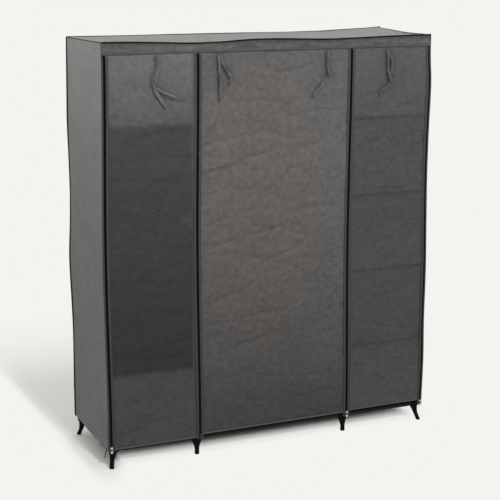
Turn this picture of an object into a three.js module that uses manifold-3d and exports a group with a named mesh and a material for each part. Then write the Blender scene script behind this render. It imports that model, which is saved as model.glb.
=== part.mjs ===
// Portable fabric wardrobe: three zipped bays of non-woven cloth over a frame of steel tubes
// that plug into moulded sockets. Millimetres, +Z up, the front faces -Y, the floor is z = 0.

import * as THREE from 'three';
import { mergeVertices } from 'three/addons/utils/BufferGeometryUtils.js';
import Module from 'manifold-3d';

const wasm = await Module();
wasm.setup();

// Cover
const coverWidth = 1500;
const coverDepth = 460;
const coverHeight = 1750;
const clothThickness = 1;
const clothSlack = 5; // how far a panel may fall in between the places that hold it
const seamGap = 0.3; // between neighbouring cloth edges
const hemShare = 0.95; // lower edge of the cover's front corners above the floor, of the base height
const hemRise = 16; // of that edge along the side panels to the back
const topSag = 4; // of the top panel between its cross tubes

// Steel tubes
const tubeRadius = 8;
const tubeWall = 1;
const roundSides = 8;

// Moulded sockets that the tubes plug into
const fitGap = 0.3;
const socketWall = 3.2;
const socketReach = 28; // from the middle of a fitting to the mouth of its socket
const socketDepth = 14;
const socketTaper = 0.8; // how much slimmer a socket is at its mouth
const collarLength = 34; // of a shelf fitting along its upright
const capLength = 16; // of the cap on an upright, whose peg stands in the top rail
const capFloor = 4;
const pegRadius = 5;

// Places of the frame
const middleBayWidth = 704; // between the inner uprights
const baseHeight = 76; // middle of the base tubes above the floor
const topShelfHeight = 1400;
const shelfPitch = 335;
const shelvesPerBay = 4;
const shelfSag = 7;
const sleeveSetback = 2; // from a socket's mouth to the shelf's cloth
const webSteps = 6; // straight pieces across a sagging shelf

// Hanging rod
const rodDrop = 45; // below the top cross tubes
const rodCollarLength = 24;
const rodLinkRadius = 9;

// Feet
const legRadius = 10;
const legKickX = 6; // how far a corner toe stands to the side of its upright
const legKickY = 13; // and to the front or back of it
const legFlare = 14; // how far the leg spreads into its sockets
const legSides = 8;
const legHeightShares = [1, 0.84, 0.64, 0.44, 0.24, 0.08, 0];
const legKickShares = [0, -0.06, -0.16, -0.04, 0.42, 0.9, 1];
const legWidthShares = [1, 1, 0.94, 0.9, 0.92, 1, 0.94];

// Valance, and the dips of its upper seam along the front
const valanceDrop = 50;
const bindingHeight = 10;
const bindingProud = 1;
const bindingStep = 1;
const seamDip = 12;
const seamFall = 9; // how far back from the front edge a dip starts
const seamDipShares = [0, 0.1, 0.5, 0.95, 0.85, 0.2, 0.1, 0.45, 0.75, 0.6, 0.3, 0.12, 0];

// Doors
const doorHemShares = [1.04, 1.18, 1.25]; // left, middle and right hem, as hemShare
const doorNames = ['left', 'middle', 'right'];

// Zips: a tape with a chain whose head is wider than its neck
const zipWidth = 20;
const zipShift = 8; // how far the inner zips hang to the right of the inner uprights
const zipTopGap = 4;
const chainNeckWidth = 3;
const chainNeckDepth = 1.5;
const chainHeadWidth = 6;
const chainHeadDepth = 1.5;

// Zip sliders, which hook behind the chain's head
const sliderHeight = 88; // middle of a closed slider above the floor
const sliderLength = 16;
const sliderWall = 2.2;
const sliderPlate = 1.2;
const sliderTaperShare = 0.8;
const bailWidth = 2.4;
const bailWindowLength = 5.2;
const bailWindowDepth = 3.2;
const bailLeg = 2;
const bailStrap = 1.2;

// Zip pulls
const pullLength = 20;
const pullWidth = 9;
const pullThickness = 1.4;
const pullBar = 1.8; // the bar that turns in the bail
const pullEyeWidth = 4.6;
const pullEyeLength = 6;
const pullGripHoleRadius = 1.6;

// Ties: a ribbon that hangs from the valance, in two tails
const tieLength = 230;
const tieWidth = 13;
const tieTopGap = 5;
const ties = [
  {
    name: 'tie_left', placeShare: -0.357,
    tailShares: [
      [[0, 0], [-0.1, -0.3], [-0.09, -0.5], [0.1, -0.6], [0.36, -0.77]],
      [[0, 0], [-0.03, -0.3], [-0.06, -0.55], [0.04, -0.75], [0.19, -0.93]],
    ],
  },
  {
    name: 'tie_middle_left', placeShare: -0.167,
    tailShares: [
      [[0, 0], [0.05, -0.22], [0.13, -0.46], [0.3, -0.54]],
      [[0, 0], [0.03, -0.25], [0.09, -0.5], [0.04, -0.85]],
    ],
  },
  {
    name: 'tie_middle_right', placeShare: 0.164,
    tailShares: [
      [[0, 0], [0.02, -0.3], [0.02, -0.55], [-0.12, -0.8], [-0.28, -0.99]],
      [[0, 0], [0.04, -0.3], [0.07, -0.62], [0.05, -0.8]],
    ],
  },
  {
    name: 'tie_right', placeShare: 0.355,
    tailShares: [
      [[0, 0], [0.01, -0.3], [0.02, -0.6], [-0.05, -0.74], [-0.16, -0.86]],
      [[0, 0], [-0.03, -0.35], [-0.03, -0.7]],
    ],
  },
];

// Grids of the cloth panels
const doorColumns = 6;
const doorRows = 16;
const sideColumns = 4;
const sideRows = 14;
const backColumns = 9;
const backRows = 8;
const topColumns = 18;
const topRows = 6;

// Sizes that follow
const halfWidth = coverWidth / 2;
const halfDepth = coverDepth / 2;
const boreRadius = tubeRadius + fitGap;
const hubRadius = boreRadius + socketWall;
const sleeveRadius = boreRadius + clothThickness;
const frameInset = clothThickness + clothSlack + fitGap + hubRadius;
const cornerX = halfWidth - frameInset;
const innerX = middleBayWidth / 2;
const rowY = halfDepth - frameInset;
const columnXs = [-cornerX, -innerX, innerX, cornerX];
const topHeight = coverHeight - clothThickness - fitGap - hubRadius;
const rodHeight = topHeight - rodDrop;
const tubeSetback = socketReach - socketDepth + fitGap; // from a fitting's middle to the tube's end
const sideTop = coverHeight - clothThickness - seamGap;
const valanceBottom = coverHeight - valanceDrop;
const doorTop = valanceBottom - seamGap;
const zipTop = doorTop - zipTopGap;
const hemHeight = baseHeight * hemShare;
const doorHems = doorHemShares.map((share) => baseHeight * share);
const zipXs = [zipWidth / 2 - halfWidth, zipShift - innerX, zipShift + innerX, halfWidth - zipWidth / 2];
const chainFront = chainNeckDepth + chainHeadDepth;
const overrun = clothThickness;

// Materials
const steelBlack = { color: 0x1c1c1e, roughness: 0.45, metalness: 0.6 };
const plasticBlack = { color: 0x161617, roughness: 0.55, metalness: 0 };
const clothGrey = { color: 0x6f6d6c, roughness: 0.95, metalness: 0 };
const tieGrey = { color: 0x5a5857, roughness: 0.95, metalness: 0 };
const zipBlack = { color: 0x121213, roughness: 0.6, metalness: 0 };
const sliderSilver = { color: 0xb9bbbd, roughness: 0.3, metalness: 1 };

const wardrobe = new THREE.Group();

function addPiece(name, geometry, look) {
  const piece = new THREE.Mesh(geometry, new THREE.MeshStandardMaterial(look));
  piece.name = name;
  wardrobe.add(piece);
  return piece;
}

// Solids that manifold-3d joins and cuts
function solidOf(geometry) {
  geometry.deleteAttribute('normal');
  geometry.deleteAttribute('uv');
  const welded = mergeVertices(geometry);
  return new wasm.Manifold(new wasm.Mesh({
    numProp: 3,
    vertProperties: welded.attributes.position.array,
    triVerts: Uint32Array.from(welded.index.array),
  }));
}

function geometryOf(solid) {
  const mesh = solid.getMesh();
  const geometry = new THREE.BufferGeometry();
  geometry.setAttribute('position', new THREE.BufferAttribute(mesh.vertProperties, 3));
  geometry.setIndex(new THREE.BufferAttribute(mesh.triVerts, 1));
  return geometry;
}

const joined = (solids) => solids.reduce((whole, solid) => whole.add(solid));
const cut = (solid, tools) => tools.reduce((rest, tool) => rest.subtract(tool), solid);

// A round bar along x, y or z from one place to another, which may taper
function bar(axis, start, end, centre, startRadius, endRadius = startRadius) {
  const length = Math.abs(end - start);
  const [low, high] = end > start ? [startRadius, endRadius] : [endRadius, startRadius];
  const geometry = new THREE.CylinderGeometry(high, low, length, roundSides);
  const middle = new THREE.Vector3(...centre);
  if (axis === 'z') geometry.rotateX(Math.PI / 2);
  if (axis === 'x') geometry.rotateZ(-Math.PI / 2);
  middle[axis] = (start + end) / 2;
  geometry.translate(middle.x, middle.y, middle.z);
  return solidOf(geometry);
}

function block(low, high) {
  const size = high.map((value, index) => value - low[index]);
  const geometry = new THREE.BoxGeometry(...size);
  geometry.translate(...high.map((value, index) => (value + low[index]) / 2));
  return solidOf(geometry);
}

// A socket that points away from a fitting's middle, and the bore in it
function socket(axis, direction, middle) {
  const from = middle['xyz'.indexOf(axis)];
  const mouth = from + direction * socketReach;
  return bar(axis, from, mouth, middle, hubRadius, hubRadius - socketTaper);
}

function socketBore(axis, direction, middle) {
  const from = middle['xyz'.indexOf(axis)];
  const floor = from + direction * (socketReach - socketDepth);
  const mouth = from + direction * (socketReach + overrun);
  return bar(axis, floor, mouth, middle, boreRadius);
}

// An outline drawn across the front (x, z), extruded towards the viewer
function frontPlate(outline, back, depth) {
  const geometry = new THREE.ExtrudeGeometry(outline, { depth, bevelEnabled: false, curveSegments: 3 });
  const turn = new THREE.Matrix4().makeBasis(
    new THREE.Vector3(1, 0, 0), new THREE.Vector3(0, 0, 1), new THREE.Vector3(0, -1, 0));
  geometry.applyMatrix4(turn);
  geometry.translate(0, back, 0);
  return solidOf(geometry);
}

// An outline drawn from the side (y, z), extruded along the width
function sideProfile(outline, start, end) {
  const geometry = new THREE.ExtrudeGeometry(outline, { depth: end - start, bevelEnabled: false });
  const turn = new THREE.Matrix4().makeBasis(
    new THREE.Vector3(0, 1, 0), new THREE.Vector3(0, 0, 1), new THREE.Vector3(1, 0, 0));
  geometry.applyMatrix4(turn);
  geometry.translate(start, 0, 0);
  return solidOf(geometry);
}

function outlineThrough(points) {
  return new THREE.Shape(points.map(([x, y]) => new THREE.Vector2(x, y)));
}

// A closed body between an outer and an inner grid of points
function clothBody(columns, rows, outer, inner) {
  const positions = [];
  for (const place of [outer, inner]) {
    for (let row = 0; row <= rows; row += 1) {
      for (let column = 0; column <= columns; column += 1) {
        positions.push(...place(column / columns, row / rows, row));
      }
    }
  }
  const layer = (columns + 1) * (rows + 1);
  const at = (column, row, side) => side * layer + row * (columns + 1) + column;
  const faces = [];
  const quad = (a, b, c, d) => faces.push(a, b, c, a, c, d);
  for (let row = 0; row < rows; row += 1) {
    for (let column = 0; column < columns; column += 1) {
      quad(at(column, row, 0), at(column + 1, row, 0), at(column + 1, row + 1, 0), at(column, row + 1, 0));
      quad(at(column, row, 1), at(column, row + 1, 1), at(column + 1, row + 1, 1), at(column + 1, row, 1));
    }
  }
  for (let column = 0; column < columns; column += 1) {
    quad(at(column, 0, 0), at(column, 0, 1), at(column + 1, 0, 1), at(column + 1, 0, 0));
    quad(at(column, rows, 0), at(column + 1, rows, 0), at(column + 1, rows, 1), at(column, rows, 1));
  }
  for (let row = 0; row < rows; row += 1) {
    quad(at(0, row, 0), at(0, row + 1, 0), at(0, row + 1, 1), at(0, row, 1));
    quad(at(columns, row, 0), at(columns, row, 1), at(columns, row + 1, 1), at(columns, row + 1, 0));
  }
  const geometry = new THREE.BufferGeometry();
  geometry.setAttribute('position', new THREE.Float32BufferAttribute(positions, 3));
  geometry.setIndex(volumeOf(positions, faces) < 0 ? faces.reverse() : faces);
  return geometry;
}

function volumeOf(positions, faces) {
  const corner = (index) => new THREE.Vector3().fromArray(positions, faces[index] * 3);
  let volume = 0;
  for (let face = 0; face < faces.length; face += 3) {
    volume += corner(face).dot(corner(face + 1).cross(corner(face + 2)));
  }
  return volume / 6;
}

// The main folds of a hanging panel as a share of the cloth's slack: broad waves that run down the
// panel and lean across it, and none at its two upright edges. The three waves add up to 1 at most.
function foldShare(across, up, phase) {
  const broad = 0.25 * Math.sin(2 * Math.PI * (2.2 * up + phase));
  const leaning = 0.15 * Math.sin(2 * Math.PI * (1.6 * across + 1.3 * up + 2 * phase));
  const upright = 0.1 * Math.sin(2 * Math.PI * (2.6 * across - 0.4 * up + phase));
  return Math.sin(Math.PI * across) * (0.5 + broad + leaning + upright);
}

const between = (start, end, share) => start + (end - start) * share;

// A value read off a row of evenly spaced shares
function alongShares(shares, share) {
  const place = share * (shares.length - 1);
  const index = Math.min(Math.floor(place), shares.length - 2);
  return between(shares[index], shares[index + 1], place - index);
}

// Frame: feet
function legRing(index, outX, outY, baseX, baseY) {
  const heightShare = legHeightShares[index];
  const flare = legFlare * heightShare ** 5;
  const kickShare = outX ? legKickShares[index] : 0;
  const radius = legRadius * legWidthShares[index];
  const halfX = outX ? radius + flare / 2 : radius + flare;
  const halfY = radius + flare / 2;
  const middleX = baseX + outX * (legKickX * kickShare - flare / 2);
  const middleY = baseY + outY * (legKickY * kickShare - flare / 2);
  const points = [];
  for (let side = 0; side < legSides; side += 1) {
    const angle = (2 * Math.PI * side) / legSides;
    points.push([
      middleX + halfX * Math.cos(angle),
      middleY + halfY * Math.sin(angle),
      (baseHeight - tubeRadius) * heightShare,
    ]);
  }
  return points;
}

// A closed body through rings of as many points each, listed from the top down
function loftBody(rings) {
  const sides = rings[0].length;
  const positions = rings.flat(2);
  const faces = [];
  for (let ring = 0; ring < rings.length - 1; ring += 1) {
    for (let side = 0; side < sides; side += 1) {
      const next = (side + 1) % sides;
      const upper = ring * sides;
      const lower = upper + sides;
      faces.push(upper + side, lower + side, lower + next, upper + side, lower + next, upper + next);
    }
  }
  const last = (rings.length - 1) * sides;
  for (let side = 1; side < sides - 1; side += 1) {
    faces.push(0, side, side + 1, last, last + side + 1, last + side);
  }
  const geometry = new THREE.BufferGeometry();
  geometry.setAttribute('position', new THREE.Float32BufferAttribute(positions, 3));
  geometry.setIndex(faces);
  return solidOf(geometry);
}

function makeFoot(column, outY) {
  const x = columnXs[column];
  const middle = [x, outY * rowY, baseHeight];
  const corner = column === 0 || column === columnXs.length - 1;
  const outX = corner ? Math.sign(x) : 0;
  const rings = legHeightShares.map((share, index) => legRing(index, outX, outY, middle[0], middle[1]));
  const railSides = corner ? [-outX] : [-1, 1];
  const whole = joined([
    loftBody(rings),
    bar('z', baseHeight - hubRadius, baseHeight, middle, hubRadius),
    socket('z', 1, middle),
    socket('y', -outY, middle),
    ...railSides.map((side) => socket('x', side, middle)),
  ]);
  const railReach = socketReach + overrun;
  const railBore = corner
    ? socketBore('x', -outX, middle)
    : bar('x', x - railReach, x + railReach, middle, boreRadius);
  return cut(whole, [socketBore('z', 1, middle), socketBore('y', -outY, middle), railBore]);
}

// Frame: uprights, each with the sockets of its shelf bars and a peg for the top rail
function makeUpright(column, outY) {
  const x = columnXs[column];
  const y = outY * rowY;
  const start = baseHeight + tubeSetback;
  const end = topHeight - hubRadius - fitGap;
  const bayside = column === 0 || column === 2 ? 1 : -1;
  const heights = shelfHeights();
  const solids = [
    bar('z', start, end, [x, y, 0], tubeRadius),
    bar('z', end - capLength, end, [x, y, 0], hubRadius),
    bar('z', end - capFloor, topHeight - fitGap, [x, y, 0], pegRadius),
  ];
  const bores = [bar('z', start - overrun, end - capFloor, [x, y, 0], tubeRadius - tubeWall)];
  for (const height of heights) {
    const middle = [x, y, height];
    solids.push(bar('z', height - collarLength / 2, height + collarLength / 2, middle, hubRadius));
    solids.push(socket('x', bayside, middle));
    bores.push(socketBore('x', bayside, middle));
  }
  return cut(joined(solids), bores);
}

function shelfHeights() {
  return Array.from({ length: shelvesPerBay }, (_, index) => (
    topShelfHeight - shelfPitch * (shelvesPerBay - 1 - index)));
}

// Frame: a top rail with its four fittings
function makeTopRail(outY) {
  const solids = [];
  const bores = [bar('x', -halfWidth, halfWidth, [0, outY * rowY, topHeight], tubeRadius - tubeWall)];
  solids.push(bar('x', -cornerX, cornerX, [0, outY * rowY, topHeight], tubeRadius));
  columnXs.forEach((x, column) => {
    const middle = [x, outY * rowY, topHeight];
    const leftReach = column === 0 ? hubRadius : socketReach;
    const rightReach = column === columnXs.length - 1 ? hubRadius : socketReach;
    solids.push(bar('x', x - leftReach, x + rightReach, middle, hubRadius));
    solids.push(socket('y', -outY, middle));
    bores.push(socketBore('y', -outY, middle));
    bores.push(bar('z', topHeight - hubRadius - overrun, topHeight, middle, pegRadius + fitGap));
  });
  return cut(joined(solids), bores);
}

function tubeAlong(axis, start, end, centre) {
  const shell = bar(axis, start, end, centre, tubeRadius);
  const bore = bar(axis, start - overrun, end + overrun, centre, tubeRadius - tubeWall);
  return shell.subtract(bore);
}

function makeCrossTube(x, height) {
  return tubeAlong('y', tubeSetback - rowY, rowY - tubeSetback, [x, 0, height]);
}

// The inner top cross tubes carry the hanging rod in a bracket at their middle
function makeRodCrossTube(x) {
  const inward = -Math.sign(x);
  const rodMiddle = [x, 0, rodHeight];
  const solids = [
    bar('y', tubeSetback - rowY, rowY - tubeSetback, [x, 0, topHeight], tubeRadius),
    bar('y', -rodCollarLength / 2, rodCollarLength / 2, [x, 0, topHeight], hubRadius),
    bar('z', rodHeight, topHeight, [x, 0, 0], rodLinkRadius),
    bar('x', x - inward * rodLinkRadius, x, rodMiddle, hubRadius),
    socket('x', inward, rodMiddle),
  ];
  return cut(joined(solids), [
    bar('y', -rowY, rowY, [x, 0, topHeight], tubeRadius - tubeWall),
    socketBore('x', inward, rodMiddle),
  ]);
}

// Shelves: cloth between a front and a back bar, sewn round both
function shelfCloth(start, end, height, sag) {
  const top = height + sleeveRadius;
  const upper = [];
  const lower = [];
  for (let step = 0; step <= webSteps; step += 1) {
    const share = step / webSteps;
    const drop = sag * Math.sin(Math.PI * share);
    upper.push([between(-rowY, rowY, share), top - drop]);
    lower.unshift([between(-rowY, rowY, share), top - clothThickness - drop]);
  }
  return joined([
    sideProfile(outlineThrough([...upper.reverse(), ...lower.reverse()]), start, end),
    bar('x', start, end, [0, -rowY, height], sleeveRadius),
    bar('x', start, end, [0, rowY, height], sleeveRadius),
  ]);
}

function shelfBars(start, end, height) {
  return [-rowY, rowY].map((y) => bar('x', start, end, [0, y, height], tubeRadius));
}

function shelfBores(start, end, height) {
  return [-rowY, rowY].map((y) => (
    bar('x', start - overrun, end + overrun, [0, y, height], tubeRadius - tubeWall)));
}

function makeShelf(leftX, rightX, height) {
  const clothStart = leftX + socketReach + sleeveSetback;
  const clothEnd = rightX - socketReach - sleeveSetback;
  const barStart = leftX + tubeSetback;
  const barEnd = rightX - tubeSetback;
  const whole = joined([
    shelfCloth(clothStart, clothEnd, height, shelfSag),
    ...shelfBars(barStart, barEnd, height),
  ]);
  return cut(whole, shelfBores(barStart, barEnd, height));
}

// The base cloth runs through all three bays over the base cross tubes, notched at the feet
function makeBaseShelf() {
  const notchX = socketReach + sleeveSetback;
  const notchY = rowY - socketReach - sleeveSetback;
  const low = baseHeight - hubRadius;
  const high = baseHeight + socketReach;
  const notches = [];
  for (const x of columnXs) {
    notches.push(block([x - notchX, -halfDepth, low], [x + notchX, -notchY, high]));
    notches.push(block([x - notchX, notchY, low], [x + notchX, halfDepth, high]));
  }
  const cloth = cut(shelfCloth(-cornerX, cornerX, baseHeight, 0), notches);
  const barEnd = cornerX - tubeSetback;
  const whole = joined([cloth, ...shelfBars(-barEnd, barEnd, baseHeight)]);
  return cut(whole, shelfBores(-barEnd, barEnd, baseHeight));
}

// Cover panels
function makeSidePanel(side) {
  const edge = halfDepth - clothThickness - seamGap;
  const place = (depth) => (across, up) => [
    side * (halfWidth - depth - clothSlack * foldShare(across, up, side > 0 ? 0.35 : 0.8)),
    between(-edge, edge, across),
    between(hemHeight + hemRise * across, sideTop, up),
  ];
  return clothBody(sideColumns, sideRows, place(0), place(clothThickness));
}

function makeBackPanel() {
  const place = (depth) => (across, up) => [
    between(-halfWidth, halfWidth, across),
    halfDepth - depth - clothSlack * foldShare(across, up, 0.15),
    between(hemHeight + hemRise, sideTop, up),
  ];
  return clothBody(backColumns, backRows, place(0), place(clothThickness));
}

// The top panel sags between its cross tubes and dips with the seam along its front edge
function makeTopPanel() {
  const bays = [[-halfWidth, -innerX], [-innerX, innerX], [innerX, halfWidth]];
  const rowYs = Array.from({ length: topRows }, (_, row) => (
    between(halfDepth, seamFall - halfDepth, row / (topRows - 1))));
  rowYs.push(-halfDepth);
  const place = (depth) => (across, back, row) => {
    const x = between(-halfWidth, halfWidth, across);
    const y = rowYs[row];
    const [bayStart, bayEnd] = bays.find(([, end]) => x <= end);
    const bayShare = (x - bayStart) / (bayEnd - bayStart);
    const sag = topSag * Math.sin(Math.PI * bayShare) ** 2 * (1 - (y / halfDepth) ** 2);
    const dip = row === topRows ? seamDip * alongShares(seamDipShares, across) : 0;
    return [x, y, coverHeight - depth - sag - dip];
  };
  return clothBody(topColumns, topRows, place(0), place(clothThickness));
}

// The valance hangs from the top panel's front seam and ends in a proud binding
function makeValance() {
  const bindingTop = valanceBottom + bindingHeight;
  const place = (depth) => (across, up, row) => {
    const seam = sideTop - seamDip * alongShares(seamDipShares, across);
    const heights = [valanceBottom, bindingTop, bindingTop + bindingStep, seam];
    const proud = depth === 0 && row < 2 ? bindingProud : 0;
    return [between(-halfWidth, halfWidth, across), depth - halfDepth - proud, heights[row]];
  };
  return clothBody(topColumns, 3, place(0), place(clothThickness));
}

// A door hangs straight at its top seam and falls into folds below it
function makeDoor(index) {
  const start = zipXs[index] + zipWidth / 2 + seamGap;
  const end = zipXs[index + 1] - zipWidth / 2 - seamGap;
  const place = (depth) => (across, up) => {
    const settle = Math.sin((Math.PI / 2) * Math.min(1, (1 - up) * 4));
    const fold = clothSlack * settle * foldShare(across, up, index / 3);
    return [between(start, end, across), depth - halfDepth + fold, between(doorHems[index], doorTop, up)];
  };
  return clothBody(doorColumns, doorRows, place(0), place(clothThickness));
}

// Zips
function makeZip(x) {
  const section = outlineThrough([
    [x - zipWidth / 2, clothThickness - halfDepth],
    [x - zipWidth / 2, -halfDepth],
    [x - chainNeckWidth / 2, -halfDepth],
    [x - chainNeckWidth / 2, -halfDepth - chainNeckDepth],
    [x - chainHeadWidth / 2, -halfDepth - chainNeckDepth],
    [x - chainHeadWidth / 2, -halfDepth - chainFront],
    [x + chainHeadWidth / 2, -halfDepth - chainFront],
    [x + chainHeadWidth / 2, -halfDepth - chainNeckDepth],
    [x + chainNeckWidth / 2, -halfDepth - chainNeckDepth],
    [x + chainNeckWidth / 2, -halfDepth],
    [x + zipWidth / 2, -halfDepth],
    [x + zipWidth / 2, clothThickness - halfDepth],
  ]);
  const geometry = new THREE.ExtrudeGeometry(section, { depth: zipTop - hemHeight, bevelEnabled: false });
  geometry.translate(0, 0, hemHeight);
  return solidOf(geometry);
}

// A slider: side walls and lips round the chain's head, a shield-shaped front and a bail for the pull
function makeSlider(x) {
  const innerHalf = chainHeadWidth / 2 + fitGap;
  const outerHalf = innerHalf + sliderWall;
  const back = -halfDepth - fitGap;
  const plateBack = -halfDepth - chainFront - fitGap;
  const plateFront = plateBack - sliderPlate;
  const low = sliderHeight - sliderLength / 2;
  const high = sliderHeight + sliderLength / 2;
  const shield = outlineThrough([
    [x - outerHalf, low + sliderWall],
    [x - outerHalf + sliderWall, low],
    [x + outerHalf - sliderWall, low],
    [x + outerHalf, low + sliderWall],
    [x + outerHalf * sliderTaperShare, high - sliderWall],
    [x + outerHalf * sliderTaperShare - sliderWall / 2, high],
    [x - outerHalf * sliderTaperShare + sliderWall / 2, high],
    [x - outerHalf * sliderTaperShare, high - sliderWall],
  ]);
  const neckHalf = chainNeckWidth / 2 + fitGap;
  const channel = [
    block(
      [x - neckHalf, -halfDepth - chainNeckDepth, low - overrun],
      [x + neckHalf, back + overrun, high + overrun]),
    block(
      [x - innerHalf, plateBack, low - overrun],
      [x + innerHalf, -halfDepth - chainNeckDepth + fitGap, high + overrun]),
  ];
  return cut(frontPlate(shield, back, back - plateFront), channel).add(makeBail(x, plateFront));
}

function makeBail(x, plateFront) {
  const windowHalf = bailWindowLength / 2;
  const outerHalf = windowHalf + bailLeg;
  const windowFront = plateFront - bailWindowDepth;
  const strapFront = windowFront - bailStrap;
  const root = plateFront + sliderPlate / 2;
  const outline = outlineThrough([
    [root, sliderHeight - outerHalf],
    [root, sliderHeight - windowHalf],
    [windowFront, sliderHeight - windowHalf],
    [windowFront, sliderHeight + windowHalf],
    [root, sliderHeight + windowHalf],
    [root, sliderHeight + outerHalf],
    [windowFront, sliderHeight + outerHalf],
    [strapFront, sliderHeight + windowHalf],
    [strapFront, sliderHeight - windowHalf],
    [windowFront, sliderHeight - outerHalf],
  ]);
  return sideProfile(outline, x - bailWidth / 2, x + bailWidth / 2);
}

// A pull: its upper bar turns in the slider's bail, whose strap passes through the eye below it
function makePull(x) {
  const plateFront = -halfDepth - chainFront - fitGap - sliderPlate;
  const axisY = plateFront - bailWindowDepth / 2;
  const top = sliderHeight + pullBar / 2;
  const bottom = top - pullLength;
  const half = pullWidth / 2;
  const round = half / 2;
  const outline = new THREE.Shape();
  outline.moveTo(x - half, bottom + round);
  outline.quadraticCurveTo(x - half, bottom, x - half + round, bottom);
  outline.lineTo(x + half - round, bottom);
  outline.quadraticCurveTo(x + half, bottom, x + half, bottom + round);
  outline.lineTo(x + half, top);
  outline.lineTo(x - half, top);
  const eye = new THREE.Path();
  const eyeTop = top - pullBar;
  eye.moveTo(x - pullEyeWidth / 2, eyeTop);
  eye.lineTo(x + pullEyeWidth / 2, eyeTop);
  eye.lineTo(x + pullEyeWidth / 2, eyeTop - pullEyeLength);
  eye.lineTo(x - pullEyeWidth / 2, eyeTop - pullEyeLength);
  outline.holes.push(eye);
  const gripHole = new THREE.Path();
  gripHole.absarc(x, bottom + pullWidth / 2, pullGripHoleRadius, 0, 2 * Math.PI, true);
  outline.holes.push(gripHole);
  return frontPlate(outline, axisY + pullThickness / 2, pullThickness);
}

// Ties: flat ribbons along a route in front of the door
function ribbonOutline(route) {
  const points = route.map(([x, z]) => new THREE.Vector2(x, z));
  const left = [];
  const right = [];
  points.forEach((point, index) => {
    const before = points[Math.max(0, index - 1)];
    const after = points[Math.min(points.length - 1, index + 1)];
    const across = after.clone().sub(before).normalize().rotateAround(new THREE.Vector2(), Math.PI / 2);
    left.push(point.clone().addScaledVector(across, tieWidth / 2));
    right.unshift(point.clone().addScaledVector(across, -tieWidth / 2));
  });
  return new THREE.Shape([...left, ...right]);
}

function makeTie(tie) {
  const startX = tie.placeShare * coverWidth;
  const startZ = doorTop - tieTopGap;
  const tails = tie.tailShares.map((shares) => {
    const route = shares.map(([x, z]) => [startX + x * tieLength, startZ + z * tieLength]);
    return frontPlate(ribbonOutline(route), -halfDepth - seamGap, clothThickness);
  });
  return joined(tails);
}

// Assembly
const sides = [['front', -1], ['back', 1]];
for (const [sideName, outY] of sides) {
  columnXs.forEach((x, column) => {
    addPiece(`foot_${sideName}_${column + 1}`, geometryOf(makeFoot(column, outY)), plasticBlack);
    addPiece(`upright_${sideName}_${column + 1}`, geometryOf(makeUpright(column, outY)), steelBlack);
  });
  addPiece(`top_rail_${sideName}`, geometryOf(makeTopRail(outY)), steelBlack);
}

columnXs.forEach((x, column) => {
  const inner = Math.abs(x) === innerX;
  const topTube = inner ? makeRodCrossTube(x) : makeCrossTube(x, topHeight);
  addPiece(`top_cross_tube_${column + 1}`, geometryOf(topTube), steelBlack);
  addPiece(`base_cross_tube_${column + 1}`, geometryOf(makeCrossTube(x, baseHeight)), steelBlack);
});

const rod = tubeAlong('x', tubeSetback - innerX, innerX - tubeSetback, [0, 0, rodHeight]);
addPiece('hanging_rod', geometryOf(rod), steelBlack);

shelfHeights().forEach((height, index) => {
  const leftShelf = makeShelf(-cornerX, -innerX, height);
  const rightShelf = makeShelf(innerX, cornerX, height);
  addPiece(`shelf_left_${index + 1}`, geometryOf(leftShelf), clothGrey);
  addPiece(`shelf_right_${index + 1}`, geometryOf(rightShelf), clothGrey);
});
addPiece('base_shelf', geometryOf(makeBaseShelf()), clothGrey);

addPiece('cover_left', makeSidePanel(-1), clothGrey);
addPiece('cover_right', makeSidePanel(1), clothGrey);
addPiece('cover_back', makeBackPanel(), clothGrey);
addPiece('cover_top', makeTopPanel(), clothGrey);
addPiece('valance', makeValance(), clothGrey);
doorNames.forEach((name, index) => addPiece(`door_${name}`, makeDoor(index), clothGrey));

zipXs.forEach((x, index) => {
  addPiece(`zip_${index + 1}`, geometryOf(makeZip(x)), zipBlack);
  addPiece(`zip_slider_${index + 1}`, geometryOf(makeSlider(x)), sliderSilver);
  addPiece(`zip_pull_${index + 1}`, geometryOf(makePull(x)), sliderSilver);
});

for (const tie of ties) {
  addPiece(tie.name, geometryOf(makeTie(tie)), tieGrey);
}

export default wardrobe;
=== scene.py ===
import math

import bpy
import numpy as np
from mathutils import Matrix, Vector


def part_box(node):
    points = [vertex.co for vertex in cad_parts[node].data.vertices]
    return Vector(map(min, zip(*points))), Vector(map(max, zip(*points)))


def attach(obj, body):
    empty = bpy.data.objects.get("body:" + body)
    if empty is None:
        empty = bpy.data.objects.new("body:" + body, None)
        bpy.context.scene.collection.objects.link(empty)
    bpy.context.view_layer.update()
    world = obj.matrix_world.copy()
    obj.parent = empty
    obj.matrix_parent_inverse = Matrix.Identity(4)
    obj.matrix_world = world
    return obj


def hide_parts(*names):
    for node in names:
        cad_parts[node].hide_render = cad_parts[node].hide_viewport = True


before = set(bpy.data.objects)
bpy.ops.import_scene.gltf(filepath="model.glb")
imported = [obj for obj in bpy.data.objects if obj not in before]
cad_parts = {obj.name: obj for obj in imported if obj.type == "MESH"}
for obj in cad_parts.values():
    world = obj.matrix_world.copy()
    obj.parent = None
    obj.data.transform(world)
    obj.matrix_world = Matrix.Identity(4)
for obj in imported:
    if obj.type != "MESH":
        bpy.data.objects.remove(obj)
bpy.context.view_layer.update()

# Places read off the frame, in metres
leftX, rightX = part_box("cover_left")[0].x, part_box("cover_right")[1].x
frontY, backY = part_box("door_left")[0].y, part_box("cover_back")[1].y
topZ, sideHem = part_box("cover_top")[1].z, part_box("cover_left")[0].z
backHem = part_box("cover_back")[0].z
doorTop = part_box("door_left")[1].z
zipHem, zipTop = (corner.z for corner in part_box("zip_1"))
zipXs = [(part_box(f"zip_{n}")[0].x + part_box(f"zip_{n}")[1].x) / 2 for n in (1, 2, 3, 4)]
doorHems = [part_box(f"door_{n}")[0].z for n in ("left", "middle", "right")]
width, depth = rightX - leftX, backY - frontY

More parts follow.
